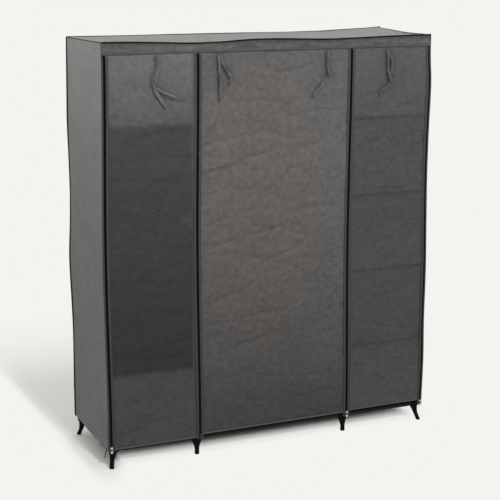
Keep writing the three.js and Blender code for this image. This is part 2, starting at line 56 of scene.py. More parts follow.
# The middles of the frame's tubes, as in the part's source
columnXs = (-0.7322, -0.352, 0.352, 0.7322)
rowY = 0.2122
baseZ, railZ, rodZ = 0.076, 1.7372, 1.6922
shelfZs = (0.395, 0.73, 1.065, 1.4)


# Shaders: a value with arithmetic, and a look that collects the nodes of one material or world
class Value:
    def __init__(self, look, socket):
        self.look, self.socket = look, socket

    def apply(self, kind, *others):
        return self.look.node("ShaderNodeMath", {"operation": kind}, dict(enumerate((self, *others))))

    def __add__(self, other):
        return self.apply("ADD", other)

    def __sub__(self, other):
        return self.apply("SUBTRACT", other)

    def __rsub__(self, other):
        return (self * -1) + other

    def __mul__(self, other):
        return self.apply("MULTIPLY", other)

    def __pow__(self, other):
        return self.apply("POWER", other)

    __radd__ = __add__
    __rmul__ = __mul__


class Look:
    def __init__(self, name, kind="materials", **constants):
        self.made = getattr(bpy.data, kind).new(name)
        self.made.use_nodes = True
        self.tree = self.made.node_tree
        self.surface = self.tree.nodes["Principled BSDF" if kind == "materials" else "Background"]
        for socket, value in constants.items():
            self.surface.inputs[socket.replace("_", " ")].default_value = value

    def feed(self, socket, value):
        if isinstance(value, Value):
            self.tree.links.new(value.socket, socket)
        else:
            socket.default_value = value

    def node(self, kind, settings, inputs, output=0):
        made = self.tree.nodes.new(kind)
        for setting, value in settings.items():
            setattr(made, setting, value)
        for place, value in inputs.items():
            self.feed(made.inputs[place], value)
        return Value(self, made.outputs[output])

    def flat(self):
        return self.node("ShaderNodeUVMap", {"uv_map": "UVMap"}, {})

    def place(self):
        return self.node("ShaderNodeTexCoord", {}, {}, "Object")

    def parts(self, vector):
        return [self.node("ShaderNodeSeparateXYZ", {}, {0: vector}, axis) for axis in range(3)]

    def noise(self, vector, scale, detail=2.0, roughness=0.5):
        inputs = {"Vector": vector, "Scale": scale, "Detail": detail, "Roughness": roughness}
        return self.node("ShaderNodeTexNoise", {}, inputs)

    def stretched(self, vector, shares):
        return self.node("ShaderNodeVectorMath", {"operation": "MULTIPLY"}, {0: vector, 1: shares})

    def tint(self, colour, share):
        return self.node("ShaderNodeVectorMath", {"operation": "SCALE"}, {0: colour, "Scale": share})

    def ramp(self, value, stops):
        made = self.node("ShaderNodeValToRGB", {}, {0: value})
        elements = made.socket.node.color_ramp.elements
        for place, level in stops[1:-1]:
            elements.new(place).color = (level, level, level, 1)
        for element, (place, level) in ((elements[0], stops[0]), (elements[-1], stops[-1])):
            element.position, element.color = place, (level, level, level, 1)
        return made

    def bump(self, height, distance, strength=1.0):
        inputs = {"Strength": strength, "Distance": distance, "Height": height}
        self.feed(self.surface.inputs["Normal"], self.node("ShaderNodeBump", {}, inputs))

    def finish(self, **fed):
        for socket, value in fed.items():
            self.feed(self.surface.inputs[socket.replace("_", " ")], value)
        return self.made


stopsHeight = 1.8  # the height that place 1 of an upright ramp stands for
bondsPerMetre = 2600 / (2 * math.pi)


# Non-woven cloth: fibres, bonded points and blotches, laid out in metres on the flat cloth
def clothLook(name, colour, stops, blotches=0.16, lit=None, warmed=None):
    look = Look(name, Specular_IOR_Level=0.2)
    flat = look.flat()
    across, up, _ = look.parts(flat)
    fibres = look.noise(look.stretched(flat, (1, 0.6, 1)), 620, 3.0, 0.6)
    blotch = look.noise(look.stretched(flat, (1, 1.2, 1)), 38, 5.0, 0.72)
    broad = look.noise(look.stretched(flat, (1, 1.5, 1)), 6, 3.0, 0.6)
    wrinkle = (look.noise(look.stretched(flat, (0.9, 1.3, 1)), 8, 4.0, 0.56) - 0.5).apply("ABSOLUTE")
    turns = 2 * math.pi * bondsPerMetre
    bonds = ((across * turns).apply("SINE") * (up * turns).apply("SINE")).apply("MAXIMUM", 0.0)
    shade = 1 + (fibres - 0.5) * 0.24 + (blotch - 0.5) * (4 * blotches)
    shade = shade + (broad - 0.5) * 0.34 - bonds * 0.06
    # painted light and shade: a ramp of brightness by height, and for some panels by place across
    level = look.ramp(up * (1 / stopsHeight), stops)
    if lit:
        level = lit(look, across, up, level)
    look.bump(fibres * 0.5 + bonds * -0.6 + blotch * 1.6 + wrinkle * 9, 0.0008, 0.8)
    warmth = look.ramp(look.noise(look.stretched(flat, (1, 1.4, 1)), 10, 4.0, 0.65), [(0.3, 0), (0.7, 1)])
    warmth = warmed(look, across, up, warmth) if warmed else warmth * min(1, 3 * blotches)
    brown = look.stretched(colour, (1.05, 0.985, 0.955))
    mixed = look.node("ShaderNodeMix", {"data_type": "VECTOR"}, {0: warmth, 4: colour, 5: brown}, 1)
    return look.finish(
        Base_Color=look.tint(mixed, shade * level),
        Roughness=0.82 + (fibres - 0.5) * 0.2,
    )


def trimLook(name, colour, weave=900.0, roughness=0.8, strength=0.4, gloss=0.1):
    look = Look(name, Specular_IOR_Level=gloss)
    place = look.place()
    threads = look.noise(place, weave, 2.0, 0.6)
    worn = look.noise(place, 30, 3.0)
    look.bump(threads, 0.0004, strength)
    return look.finish(
        Base_Color=look.tint(colour, 0.8 + threads * 0.25 + worn * 0.2),
        Roughness=roughness + (threads - 0.5) * 0.15,
    )


# Painted light: the bindings beside the zips are lighter higher up and darken towards the floor, as the
# doors do
def zipBindingLook(name, share=1.0):
    look = Look(name, Specular_IOR_Level=0.25)
    place = look.place()
    threads = look.noise(place, 900, 2.0, 0.6)
    _, _, up = look.parts(place)
    level = look.ramp(up * (1 / stopsHeight), [(0.04, 0.04), (0.3, 0.05), (0.6, 0.06), (0.95, 0.075)])
    look.bump(threads, 0.0004, 0.4)
    return look.finish(
        Base_Color=look.tint((1.0, 1.0, 1.0), level * (0.85 + threads * 0.3) * share),
        Roughness=0.75 + threads * 0.15,
    )


# A ribbon with painted shade along its edges, for the thin shadow at its outline; its flat layout runs from
# 0 to 1 across the ribbon
def tieLook(name, colour):
    look = Look(name, Specular_IOR_Level=0.25)
    flat = look.flat()
    across, along, _ = look.parts(flat)
    threads = look.noise(look.place(), 900, 2.0, 0.6)
    # painted shade along both edges of the ribbon
    edge = look.ramp(across, [(0.0, 0.42), (0.08, 0.55), (0.16, 1), (0.84, 1), (0.92, 0.55), (1.0, 0.42)])
    worn = look.noise(look.stretched(flat, (2, 40, 1)), 1, 3.0)
    look.bump(threads, 0.0004, 0.4)
    return look.finish(
        Base_Color=look.tint(colour, edge * (0.64 + threads * 0.2 + worn * 0.5)),
        Roughness=0.8 + threads * 0.1,
    )


def plasticLook(name, colour):
    look = Look(name, Specular_IOR_Level=0.05)
    place = look.place()
    grain = look.noise(place, 1400, 2.0)
    cloud = look.noise(place, 40, 3.0)
    look.bump(grain, 0.0002, 0.35)
    return look.finish(Base_Color=look.tint(colour, 0.85 + cloud * 0.3), Roughness=0.42 + grain * 0.16)


def metalLook(name, colour, metallic, roughness, gloss=0.5, worn=None):
    look = Look(name, Metallic=metallic, Specular_IOR_Level=gloss)
    place = look.place()
    rubbed = look.noise(look.stretched(place, (1, 1, 0.15)), 300, 3.0)
    cloud = look.noise(place, 25, 3.0)
    shade = 0.85 + cloud * 0.3
    if worn:
        # the ramp given as worn paints highlights and shade along the piece's height
        _, _, up = look.parts(look.node("ShaderNodeTexCoord", {}, {}, "Generated"))
        shade = shade * look.ramp(up, worn)
    look.bump(rubbed, 0.0001, 0.25)
    return look.finish(Base_Color=look.tint(colour, shade), Roughness=roughness + rubbed * 0.15)


# Points and lines
def pointsOf(*axes):
    return np.stack(np.broadcast_arrays(*axes), -1)


def unit(vectors):
    return vectors / np.linalg.norm(vectors, axis=-1, keepdims=True)


# The distances of a path's points along it, and the path's points at other distances
def distances(path):
    return np.concatenate([[0], np.cumsum(np.linalg.norm(np.diff(path, axis=0), axis=1))])


def sampled(path, places, at):
    return np.stack([np.interp(at, places, path[:, axis]) for axis in range(path.shape[1])], -1)


def smoothed(path, times):
    for _ in range(times):
        path[1:-1] = (path[:-2] + 2 * path[1:-1] + path[2:]) / 4
    return path


# Meshes and pieces
def meshPiece(name, points, faces, look, flat=None, sharp=40):
    mesh = bpy.data.meshes.new(name)
    mesh.from_pydata([tuple(p) for p in points], [], faces)
    if flat is not None:
        layer = mesh.uv_layers.new(name="UVMap")
        corners = np.empty(len(mesh.loops), np.int32)
        mesh.loops.foreach_get("vertex_index", corners)
        layer.data.foreach_set("uv", np.asarray(flat, np.float32)[corners].ravel())
    mesh.shade_smooth()
    mesh.set_sharp_from_angle(angle=math.radians(sharp))
    mesh.materials.append(look)
    piece = bpy.data.objects.new(name, mesh)
    bpy.context.scene.collection.objects.link(piece)
    return piece


# A piece goes with a body and may stand for a node of the CAD, which it hides
def settled(piece, body, node):
    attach(piece, body)
    if node:
        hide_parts(node)
    return piece


def gridFaces(columns, rows, start, turned):
    faces = []
    for row in range(rows):
        for column in range(columns):
            a = start + row * (columns + 1) + column
            face = (a, a + 1, a + columns + 2, a + columns + 1)
            faces.append(face[::-1] if turned else face)
    return faces


# A closed sheet of cloth through place(u, v), on a grid of columns and rows; its outer side faces u x v
def clothPiece(name, body, grid, place, look, axes=None, node=None, thick=0.0006):
    columns, rows = grid
    u, v = np.meshgrid(np.linspace(0, 1, columns + 1), np.linspace(0, 1, rows + 1))
    outer = pointsOf(*place(u, v))
    inner = outer - unit(np.cross(np.gradient(outer, axis=1), np.gradient(outer, axis=0))) * thick
    layer = (columns + 1) * (rows + 1)
    faces = gridFaces(columns, rows, 0, False) + gridFaces(columns, rows, layer, True)
    rim = [r * (columns + 1) for r in range(rows, -1, -1)] + list(range(1, columns + 1))
    rim += [r * (columns + 1) + columns for r in range(1, rows + 1)]
    rim += [rows * (columns + 1) + c for c in range(columns - 1, 0, -1)]
    for a, b in zip(rim, rim[1:] + rim[:1]):
        faces.append((b, a, a + layer, b + layer))
    points = np.concatenate([outer.reshape(-1, 3), inner.reshape(-1, 3)])
    flat = points[:, list(axes)] if axes else np.tile(pointsOf(u.ravel(), v.ravel()), (2, 1))
    return settled(meshPiece(name, points, faces, look, flat), body, node)


# A closed body through rings of points
def loft(rings):
    rings = np.asarray(rings, float)
    count, sides = rings.shape[:2]
    faces = []
    for ring in range(count - 1):
        for side in range(sides):
            a, b = ring * sides + side, ring * sides + (side + 1) % sides
            faces.append((a, b, b + sides, a + sides))
    faces.append(tuple(range(sides - 1, -1, -1)))
    faces.append(tuple(range((count - 1) * sides, count * sides)))
    return rings.reshape(-1, 3), faces


# The directions along, across and out of a path, where out starts as near to facing as it can
def framesOf(path, facing):
    along = unit(np.gradient(path, axis=0))
    across = unit(np.cross(along, facing))
    return along, across, np.cross(across, along)


def tube(path, radius, sides=16, facing=(0.31, 0.2, 0.93)):
    path = np.asarray(path, float)
    radius = np.broadcast_to(radius, (len(path),))
    _, across, out = framesOf(path, facing)
    angles = np.linspace(0, 2 * np.pi, sides, endpoint=False)
    circle = np.cos(angles)[None, :, None] * across[:, None] + np.sin(angles)[None, :, None] * out[:, None]
    return loft(path[:, None] + circle * radius[:, None, None])


def strip(path, profile, facing):
    path = np.asarray(path, float)
    _, across, out = framesOf(path, facing)
    shape = np.asarray(profile, float)[None]
    return loft(path[:, None] + shape[..., :1] * across[:, None] + shape[..., 1:] * out[:, None])


# Many small boxes, each with its centre, and half sizes along the three directions given
def boxes(centres, halves, directions):
    corners = np.array([(i, j, k) for i in (-1, 1) for j in (-1, 1) for k in (-1, 1)], float)
    offsets = (corners * halves) @ np.asarray(directions, float)
    points = (np.asarray(centres, float)[:, None] + offsets[None]).reshape(-1, 3)
    sides = [(0, 1, 3, 2), (4, 6, 7, 5), (0, 4, 5, 1), (2, 3, 7, 6), (0, 2, 6, 4), (1, 5, 7, 3)]
    faces = [tuple(8 * n + corner for corner in side) for n in range(len(centres)) for side in sides]
    return points, faces


def merged(parts):
    points, faces, start = [], [], 0
    for partPoints, partFaces in parts:
        points.append(partPoints)
        faces += [tuple(corner + start for corner in face) for face in partFaces]
        start += len(partPoints)
    return np.concatenate(points), faces


def solidPiece(name, body, parts, look, node=None):
    return settled(meshPiece(name, *merged(parts), look), body, node)


# Smooth noise from -1 to 1, and creases from 0 to 1, on arrays of places
def noise(x, y, seed):
    grid = np.random.default_rng(seed).uniform(-1, 1, (101, 97))
    x, y = np.broadcast_arrays(x + 50.0, y + 50.0)
    x0, y0 = np.floor(x).astype(int), np.floor(y).astype(int)
    fx, fy = x - x0, y - y0
    fx, fy = fx * fx * (3 - 2 * fx), fy * fy * (3 - 2 * fy)
    low = grid[x0 % 101, y0 % 97] * (1 - fx) + grid[(x0 + 1) % 101, y0 % 97] * fx
    high = grid[x0 % 101, (y0 + 1) % 97] * (1 - fx) + grid[(x0 + 1) % 101, (y0 + 1) % 97] * fx
    return low * (1 - fy) + high * fy


def creases(x, y, seed, sharpness=5):
    return (1 - np.abs(noise(x, y, seed))) ** sharpness


def ease(x, low, high):
    t = np.clip((x - low) / (high - low), 0, 1)
    return t * t * (3 - 2 * t)


# Painted light and shade of the one grey cloth, at each share of the ramps' height: the doors and sides
# lighter higher up where more light falls, painted shade along the shelves and behind the left door, the
# valance in painted shade under the top seam
clothGrey = (1.0, 0.995, 0.99)
paintedLightAndShade = {
    "doorLeft": [(0.04, 0.055), (0.205, 0.058), (0.214, 0.05), (0.221, 0.028), (0.45, 0.041),
                 (0.7, 0.058), (0.783, 0.065), (0.792, 0.108), (0.86, 0.138), (0.96, 0.174)],
    "doorLeftClear": [(0.04, 0.054), (0.2, 0.057), (0.5, 0.07), (0.79, 0.095), (0.96, 0.147)],
    "doorMiddle": [(0.04, 0.05), (0.12, 0.057), (0.25, 0.078), (0.45, 0.106), (0.7, 0.131), (0.96, 0.137)],
    "doorRight": [(0.04, 0.066), (0.211, 0.064), (0.217, 0.046), (0.223, 0.061), (0.4, 0.067),
                  (0.406, 0.048), (0.412, 0.071), (0.586, 0.072), (0.592, 0.051), (0.598, 0.077),
                  (0.772, 0.082), (0.778, 0.055), (0.784, 0.092), (0.96, 0.12)],
    "side": [(0.04, 0.136), (0.3, 0.151), (0.55, 0.17), (0.75, 0.21), (0.97, 0.282)],
    "valance": [(0.944, 0.137), (0.958, 0.131), (0.966, 0.09), (0.972, 0.055)],
    "valanceAcross": [(0, 1), (0.3, 1), (0.44, 0.9), (0.6, 0.85), (0.72, 0.9), (0.84, 1)],
}
# Painted highlight and shade on the metal: how bright it is from a slider's or a pull's lower end to its
# upper end
shine = {"slider": [(0, 0.12), (0.3, 0.3), (0.45, 1), (0.9, 1), (1, 0.4)],
         "unlit": [(0, 0.3), (1, 1)],
         "pull": [(0, 0.6), (0.1, 1), (0.4, 1), (0.55, 0.2), (1, 0.15)]}


def even(level):
    return [(0, level), (1, level)]


# The painted shade on the left door ends short of its right edge, with a painted lighter corner there
def litLeft(look, across, up, level):
    shadeEdge, cornerX, cornerZ = -0.374, -0.43, 1.02
    strip = look.ramp((across - shadeEdge) * 120 + 0.5, [(0, 0), (1, 0.8)])
    corner = (across - cornerX) * 0.7 - (up - cornerZ).apply("ABSOLUTE")
    share = strip.apply("MAXIMUM", look.ramp(corner * 90 + 0.5, [(0, 0), (1, 0.5)]))
    clear = look.ramp(up * (1 / stopsHeight), paintedLightAndShade["doorLeftClear"])
    return level * (1 - share) + clear * share


# The doors are browner in the middle of the wardrobe and at the left door's foot
def warmLeft(look, across, up, warmth):
    return warmth * look.ramp(up, [(0.3, 1), (0.42, 0.1)])


def warmMiddle(look, across, up, warmth):
    middleX, middleZ = -0.08, 1.0
    aside, above = (across - middleX) * 2.6, (up - middleZ) * 1.25
    zone = look.ramp(1 - aside * aside - above * above, [(0, 0.12), (0.8, 1)])
    return zone * (0.45 + warmth * 0.75)


def warmRight(look, across, up, warmth):
    return warmth * 0.1


# Painted shade: the valance is darker over the right half of the middle door
def litValance(look, across, up, level):
    return level * look.ramp((across + width / 2) * (1 / width), paintedLightAndShade["valanceAcross"])


silver = (0.6, 0.61, 0.62)
# The panels are one grey cloth, and their levels paint light and shade: the top painted lightest, the base
# near black in painted shade inside the wardrobe
looks = {
    "doorLeft": clothLook("cloth_door_left", (1.0, 0.998, 0.996), paintedLightAndShade["doorLeft"], 0.24,
                          litLeft, warmLeft),
    "doorMiddle": clothLook("cloth_door_middle", (1.012, 0.99, 0.968), paintedLightAndShade["doorMiddle"], 0.3,
                            warmed=warmMiddle),
    "doorRight": clothLook("cloth_door_right", (0.99, 0.995, 1.005), paintedLightAndShade["doorRight"], 0.27,
                           warmed=warmRight),
    "side": clothLook("cloth_side", clothGrey, paintedLightAndShade["side"], 0.12),
    "top": clothLook("cloth_top", (1.0, 0.985, 0.965), even(0.282)),
    "valance": clothLook("cloth_valance", clothGrey, paintedLightAndShade["valance"], 0.42, litValance),
    "back": clothLook("cloth_back", clothGrey, even(0.13)),
    "shelf": clothLook("cloth_shelf", clothGrey, even(0.022)),
    "base": clothLook("cloth_base", clothGrey, even(0.005)),
    "hem": trimLook("hem_grey", (0.082, 0.082, 0.082)),
    "binding": trimLook("binding_grey", (0.1, 0.1, 0.099)),
    "zipBinding": zipBindingLook("binding_zip"),
    "wrap": zipBindingLook("binding_wrap", 0.75),
    "piping": trimLook("piping_dark", (0.009, 0.009, 0.009)),
    # Each tie is painted about as bright as its door's painted light near the top
    "tieLeft": tieLook("tie_left", (0.158, 0.156, 0.153)),
    "tieMiddle": tieLook("tie_middle", (0.128, 0.125, 0.12)),
    "tieRight": tieLook("tie_right", (0.104, 0.103, 0.102)),
    "coil": trimLook("coil_black", (0.0025, 0.0025, 0.003), 1500.0, 0.5, 0.4, 0.06),
    # The stitches are real thread, painted near black for the shade of the grooves they sink into
    "thread": trimLook("thread_dark", (0.012, 0.012, 0.012), 2500.0),
    "plastic": plasticLook("plastic_black", (0.0025, 0.0025, 0.0027)),
    "steel": metalLook("steel_black", (0.004, 0.004, 0.0042), 0.05, 0.36, 0.08),
    # The sliders and pulls carry painted highlights from their height ramps
    "slider": metalLook("slider_silver", silver, 1.0, 0.26, worn=shine["slider"]),
    # The second zip's slider and pull: the same metal painted dark, in painted shade without highlights
    "unlit": metalLook("slider_painted_unlit", (0.06, 0.06, 0.062), 0.8, 0.4, worn=shine["unlit"]),
    "pull": metalLook("pull_silver", silver, 1.0, 0.26, worn=shine["pull"]),
}
print("looks made")

# The front seam dips between the places where the top is pulled tight
seam = {"dip": 0.012, "shares": [0, 0.1, 0.5, 0.95, 0.85, 0.2, 0.1, 0.45, 0.75, 0.6, 0.3, 0.12, 0],
        "rounding": (-0.04, -0.02, 0, 0.02, 0.04)}


def seamDip(x):
    places = np.linspace(leftX, rightX, len(seam["shares"]))
    near = [np.interp(x + shift, places, seam["shares"]) for shift in seam["rounding"]]
    return seam["dip"] * sum(near) / len(near)


# Soft waves in two of the corner edges, each with its height, its reach up and down, and its depth
edgeWaves = {
    "backLeft": ((1.4, 0.14, -0.003), (1.1, 0.07, 0.001), (0.8, 0.15, -0.0075), (0.51, 0.08, 0.001)),
    "frontRight": ((1.53, 0.15, 0.0068), (1.14, 0.12, -0.0014), (0.7, 0.2, 0.005), (0.3, 0.14, 0.0045)),
}


def edgeWave(edge, z):
    return sum(deep * np.exp(-((z - height) / reach) ** 2) for height, reach, deep in edgeWaves[edge])


# The first three zips bow to the left at mid-height, and the last one follows its corner's waves
zipBows = (0.009, 0.008, 0.008)


def zipBow(index, z):
    if index == 3:
        return edgeWave("frontRight", z) * ease(zipTop - z, 0, 0.14) * ease(z - zipHem, 0, 0.1)
    share = np.clip((z - zipHem) / (zipTop - zipHem), 0, 1)
    return -zipBows[index] * np.sin(np.pi * share) ** 2


# The cover's back right corner stands up, where the upright's peg lifts it
peak = {"reachX": 0.34, "reachY": 0.3, "broad": 0.0105, "sharp": 0.0035, "sharpShare": 0.2}


def cornerPeak(x, y):
    away = np.hypot((x - rightX) / peak["reachX"], (y - backY) / peak["reachY"])
    return peak["broad"] * (1 - ease(away, 0, 1)) + peak["sharp"] * (1 - ease(away, 0, peak["sharpShare"]))


# Top panel, with a fold that runs from the front edge to the corner that stands up
topPanel = {"grid": (200, 64), "low": 0.0006, "sag": 0.004, "wave": 0.0022, "ripple": 0.0012,
            "wrinkle": 0.0022, "fold": 0.003, "foldX": 0.4, "foldWide": 0.012, "slope": 0.008,
            "seamWide": 0.009}


def topPlace(u, v):
    x, y = leftX + width * u, frontY + depth * v
    bay = np.sin(np.pi * np.interp(x, [leftX, *columnXs[1:3], rightX], [0, 1, 2, 3])) ** 2
    share = (y - frontY) / depth
    soft = np.sin(np.pi * share) ** 0.5
    dip = seamDip(x) * (1 - ease(y - frontY, 0, topPanel["seamWide"]))
    waves = topPanel["wave"] * noise(x * 2.6, y * 13, 3) + topPanel["ripple"] * noise(x * 9, y * 16, 5)
    wrinkle = topPanel["wrinkle"] * creases(x * 2.1 + y * 3, y * 9 - x, 8, 9)
    beside = (x - topPanel["foldX"]) * 0.76 - (y - frontY) * 0.64  # how far right of the fold
    fold = topPanel["fold"] * np.exp(-(beside / topPanel["foldWide"]) ** 2)
    fold = fold - topPanel["slope"] * ease(beside, 0, 0.22)
    z = topZ - topPanel["low"] - topPanel["sag"] * bay * soft + (waves + wrinkle - 0.002 + fold) * soft
    return x, y, np.maximum(z, tubeTop(x, y)) - dip + cornerPeak(x, y)


# The top cloth lies on the frame's tubes and fittings: how high they hold it, eased off at their sides
heldUp = {"tube": 0.0088, "fitting": 0.0038, "fall": 0.02}


def tubeTop(x, y):
    acrossRow = np.abs(np.abs(y) - rowY)
    acrossColumn = np.min([np.abs(x - column) for column in columnXs], axis=0)
    nearest = np.minimum(acrossRow, acrossColumn)
    fitting = (1 - ease(acrossColumn, 0.026, 0.04)) * (1 - ease(acrossRow, 0.012, 0.024))
    socket = (1 - ease(acrossRow, 0.027, 0.041)) * (1 - ease(acrossColumn, 0.012, 0.024))
    hub = (1 - ease(acrossColumn, 0.01, 0.022)) * (1 - ease(np.abs(y), 0.014, 0.03))
    raised = np.max([fitting, socket, hub], axis=0)
    return railZ + heldUp["tube"] - heldUp["fall"] * ease(nearest, 0.004, 0.03) + heldUp["fitting"] * raised


topPiece = clothPiece("cover_top_cloth", "root", topPanel["grid"], topPlace, looks["top"], (0, 1),
                      node="cover_top")


# Side and back panels: how far their folds stand out
sidePanel = {"grid": (60, 210), "broad": 0.0028, "ripple": 0.0016, "crease": 0.009, "speckle": 0.0009,
             "wrinkle": 0.002, "bulge": 0.0022, "inset": 0.001}
wrap = {"grid": (4, 210), "share": 0.024, "left": 0.0008, "forward": 0.0006}
backPanel = {"grid": (150, 170), "hang": 0.013, "crease": 0.006, "inset": 0.002}
seamDrop = 0.0015  # the panels end this far under the top


def panelFold(along, z, seed):
    fold = sidePanel["broad"] * noise(along * 5 + 0.4 * z, z * 2.1, seed)
    fold = fold + sidePanel["ripple"] * noise(along * 11, z * 4.5, seed + 1)
    fold = fold + sidePanel["crease"] * creases(along * 3 + z * 1.3, z * 2.4 - along * 4, seed + 5, 7)
    fine = sidePanel["speckle"] * noise(along * 40, z * 26, seed + 2)
    fine = fine + sidePanel["wrinkle"] * creases(along * 7 + z, z * 5 - along * 2, seed + 3, 9)
    return fold + fine


def sidePlace(sign):
    def place(u, v):
        y = frontY + depth * u if sign > 0 else backY - depth * u
        hem = sideHem + (backHem - sideHem) * (y - frontY) / depth
        peakZ = cornerPeak(sign * rightX, y)
        z = hem + (topZ - seamDrop + peakZ - hem) * v
        edges = np.sin(np.pi * u) ** 0.6 * np.sin(np.pi * (v * 0.5 + 0.5)) ** 0.4
        fold = panelFold(y, z, 20 if sign > 0 else 30)
        bulge = sidePanel["bulge"] * np.sin(9 * z + 1.2) * np.sin(np.pi * u)
        x = sign * (rightX - sidePanel["inset"]) + sign * (fold + bulge - 0.0015) * edges
        x = x + zipBow(0 if sign < 0 else 3, z) * (1 - ease(y - frontY, 0, 0.3))
        if sign < 0:
            x = x + edgeWave("backLeft", z) * ease(y, backY - 0.3, backY)
        return x, y, z
    return place


# The first zip's binding wraps round the corner onto the left side
def wrapPlace(u, v):
    x, y, z = sidePlace(-1)(1 - wrap["share"] + wrap["share"] * u, v)
    return x - wrap["left"], y - wrap["forward"], z


for name, sign in (("left", -1), ("right", 1)):
    panel = clothPiece(f"cover_{name}_cloth", "root", sidePanel["grid"], sidePlace(sign),
                       looks["side"], (1, 2), node=f"cover_{name}")


def backPlace(u, v):
    x = rightX - width * u
    z = backHem + (topZ - seamDrop + cornerPeak(x, backY) - backHem) * v
    hang = 0.5 + 0.5 * noise(x * 8.5 + 0.6 * z, z * 0.9, 40)
    fold = backPanel["hang"] * hang + backPanel["crease"] * creases(x * 1.6 + z * 0.5, z * 3.2 - x, 47, 10)
    fold = fold + panelFold(x, z, 44)
    fold = np.maximum(fold, 0) * np.sin(np.pi * u) ** 0.5 * (1 - 0.8 * ease(v, 0.9, 1))
    return x + edgeWave("backLeft", z) * ease(-x, 0.55, -leftX), backY - backPanel["inset"] + fold, z


backPiece = clothPiece("cover_back_cloth", "root", backPanel["grid"], backPlace, looks["back"], (0, 2),
                       node="cover_back")


# Single raised folds: each runs from one place on the front to another and stands out by its height
pulls = {
    "valance": [((-0.7, 1.738), (-0.5, 1.712), 0.0042), ((-0.22, 1.742), (-0.04, 1.72), 0.004),
                ((0.08, 1.732), (0.25, 1.71), 0.0036), ((0.34, 1.742), (0.52, 1.722), 0.0042),
                ((-0.42, 1.708), (-0.3, 1.728), 0.0034), ((0.56, 1.712), (0.7, 1.734), 0.0036)],
    # where the left zip pulls on the middle door
    "door_middle": [((-0.25, 1.462), (-0.325, 1.36), 0.0085), ((-0.26, 1.314), (-0.338, 1.292), 0.0065),
                    ((-0.2, 1.245), (-0.332, 1.222), 0.007), ((-0.25, 1.205), (-0.33, 1.176), 0.0055),
                    ((-0.23, 1.16), (-0.33, 1.118), 0.004)],
    # fanned out from the right door's lower corner
    "door_right": [((0.475, 0.29), (0.62, 0.165), 0.0085), ((0.54, 0.2), (0.685, 0.12), 0.0062),
                   ((0.63, 0.25), (0.7, 0.14), 0.004), ((0.4, 0.318), (0.47, 0.3), 0.006)],
}
pullWide = 0.0085


def pullFolds(place, x, z):
    raised = 0
    for (startX, startZ), (endX, endZ), height in pulls.get(place, []):
        length = math.hypot(endX - startX, endZ - startZ)
        alongX, alongZ = (endX - startX) / length, (endZ - startZ) / length
        along = (x - startX) * alongX + (z - startZ) * alongZ
        aside = (x - startX) * alongZ - (z - startZ) * alongX
        taper = ease(along, -0.02, length * 0.3) * (1 - ease(along, length * 0.8, length + 0.02))
        raised = raised + height * taper * np.exp(-(aside / pullWide) ** 2)
    return raised


# Valance, with a stitched binding along its lower edge
valance = {"grid": (300, 14), "hem": 1.7004, "flat": 0.05, "out": 0.001, "crinkle": 0.0026,
           "crease": 0.0042, "broad": 0.0012, "binding": 0.0115, "thick": 0.0012, "bindingZ": 1.7002,
           "bindingOut": 0.0008, "bindingWave": 0.0004}


def valancePlace(u, v):
    x = leftX + width * u
    upper = topZ - 0.001 - seamDip(x)
    z = valance["hem"] + (upper - valance["hem"]) * v
    loose = np.sin(np.pi * np.clip(v, 0, 1)) * np.sin(np.pi * u) ** 0.2
    crinkle = valance["crinkle"] * noise(x * 14, z * 30, 51)
    crinkle = crinkle + valance["crease"] * creases(x * 7, z * 34 - x * 6, 52, 7)
    crinkle = crinkle + valance["broad"] * noise(x * 4, z * 10, 54)
    return x, frontY - valance["out"] - (crinkle + 0.0008 + pullFolds("valance", x, z)) * loose, z


valancePiece = clothPiece("valance_cloth", "root", valance["grid"], valancePlace, looks["valance"], (0, 2),
                          node="valance")

# Bindings: folded strips with a groove under each row of stitches, as shares of their width and thickness
bindingShape = [(0, 0), (0.01, 0.8), (0.06, 1.1), (0.12, 1.0), (0.16, 0.45), (0.2, 1.05), (0.5, 1.25),
                (0.8, 1.05), (0.84, 0.45), (0.88, 1.0), (0.94, 1.1), (0.99, 0.8), (1, 0)]
stitch = {"pitch": 0.0044, "halves": (0.0019, 0.0009, 0.0003), "height": 0.62, "rows": (0.16, 0.84)}
outwards = (0, -1, 0)


def binding(path, side, wide, thick):
    shape = [(side * share * wide, out * thick) for share, out in bindingShape]
    return strip(path, shape if side < 0 else shape[::-1], outwards)


def stitches(path, side, wide, thick, share):
    along, across, out = framesOf(path, outwards)
    places = distances(path)
    at = np.arange(stitch["pitch"], places[-1] - stitch["pitch"], stitch["pitch"])
    line = path + across * side * share * wide + out * thick * stitch["height"]
    middle = len(path) // 2
    directions = (along[middle], across[middle], out[middle])
    return boxes(sampled(line, places, at), stitch["halves"], directions)


xs = np.linspace(leftX, rightX, 260)
bindingZs = valance["bindingZ"] + valance["bindingWave"] * noise(xs * 9, 0, 61)
line = pointsOf(xs, frontY - valance["bindingOut"], bindingZs)
edging = (-1, valance["binding"], valance["thick"])
valanceBinding = solidPiece("valance_binding", "root", [binding(line, *edging)], looks["binding"])
rows = [stitches(line, *edging, share) for share in stitch["rows"]]
valanceThread = solidPiece("valance_stitches", "root", rows, looks["thread"])
print("top, sides, back and valance made")


# Doors: cloth that falls from the top seam between two zips, with a bound hem
doorBodies = ("door_left", "door_middle", "door_right")
doors = {"looks": ("doorLeft", "doorMiddle", "doorRight"), "grids": ((72, 250), (130, 250), (72, 250)),
         "clear": 0.0035, "in": 0.0004, "broad": 0.0034, "ripple": 0.0024, "crinkle": 0.0016,
         "crease": 0.005, "longCrease": 0.004, "pucker": 0.005, "shelfMark": 0.0012,
         "hem": 0.008, "hemThick": 0.0011, "hemClear": 0.0155}


